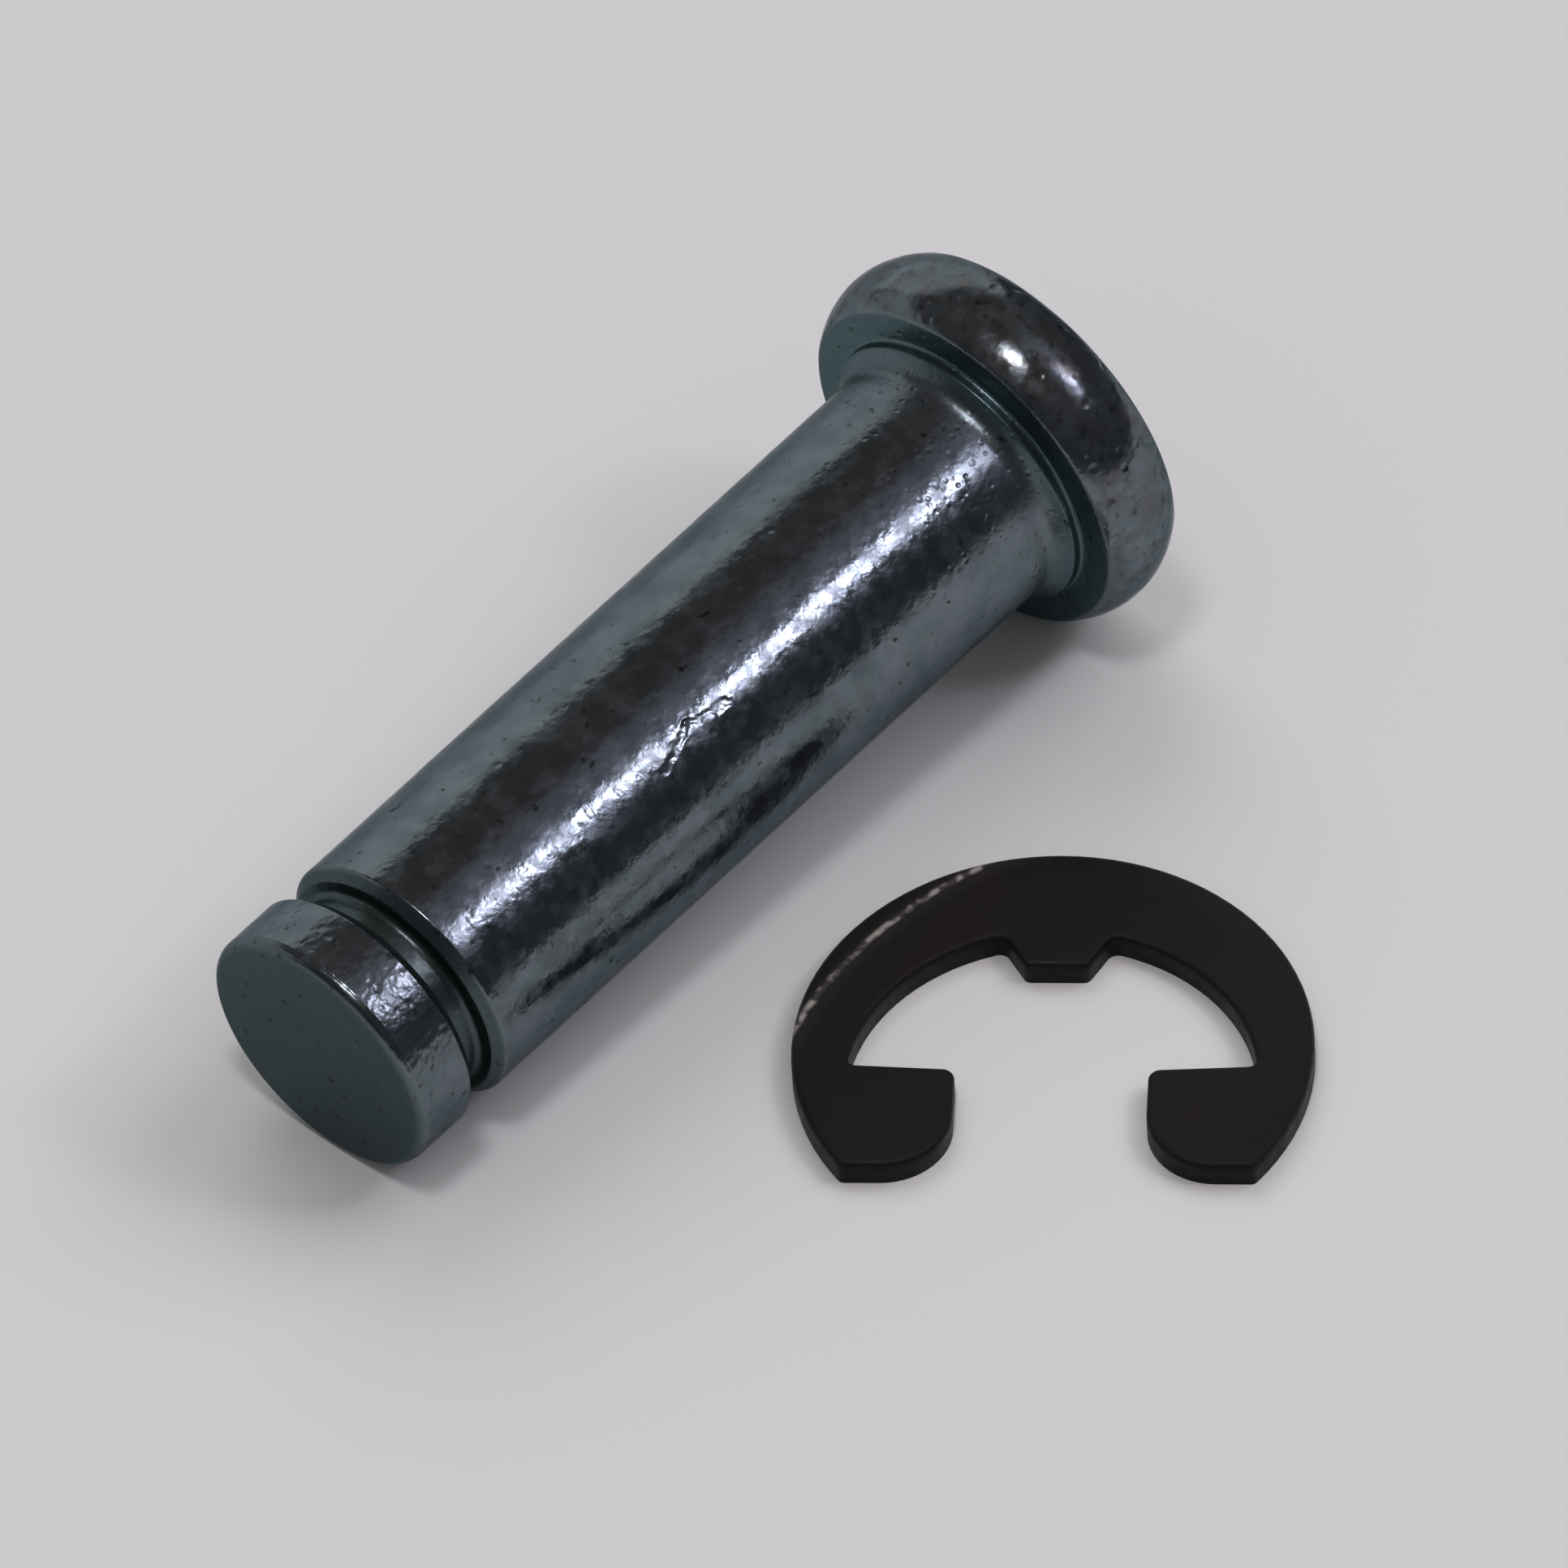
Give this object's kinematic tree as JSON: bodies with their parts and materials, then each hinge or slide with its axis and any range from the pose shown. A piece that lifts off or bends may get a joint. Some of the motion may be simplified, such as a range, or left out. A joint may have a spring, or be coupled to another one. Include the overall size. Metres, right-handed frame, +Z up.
{
  "type": "pulley pin with retaining clip",
  "caption": "Headed zinc-plated clevis-type pin for a pulley, with a groove near its free end, and its black E-shaped retaining clip lying beside it.",
  "frame": {"origin": "middle of the footprint of pin and clip, on the surface that they lie on", "axes": "+Z up; +X along the lying pin from its free end to its head, in plan; the clip lies flat on the -Y side of the pin"},
  "size_m": [0.0383, 0.0336, 0.015],
  "materials": {
    "zinc_plated_steel": "bright zinc plating over a slightly rough cold-headed surface, with dark specks and bluish-green cast",
    "black_spring_steel": "black phosphate on stamped spring steel, satin, worn to bare metal at the outer edge"
  },
  "bodies": {
    "root": {"headed_pin": "zinc_plated_steel", "e_clip": "black_spring_steel"}
  },
  "joints": []
}
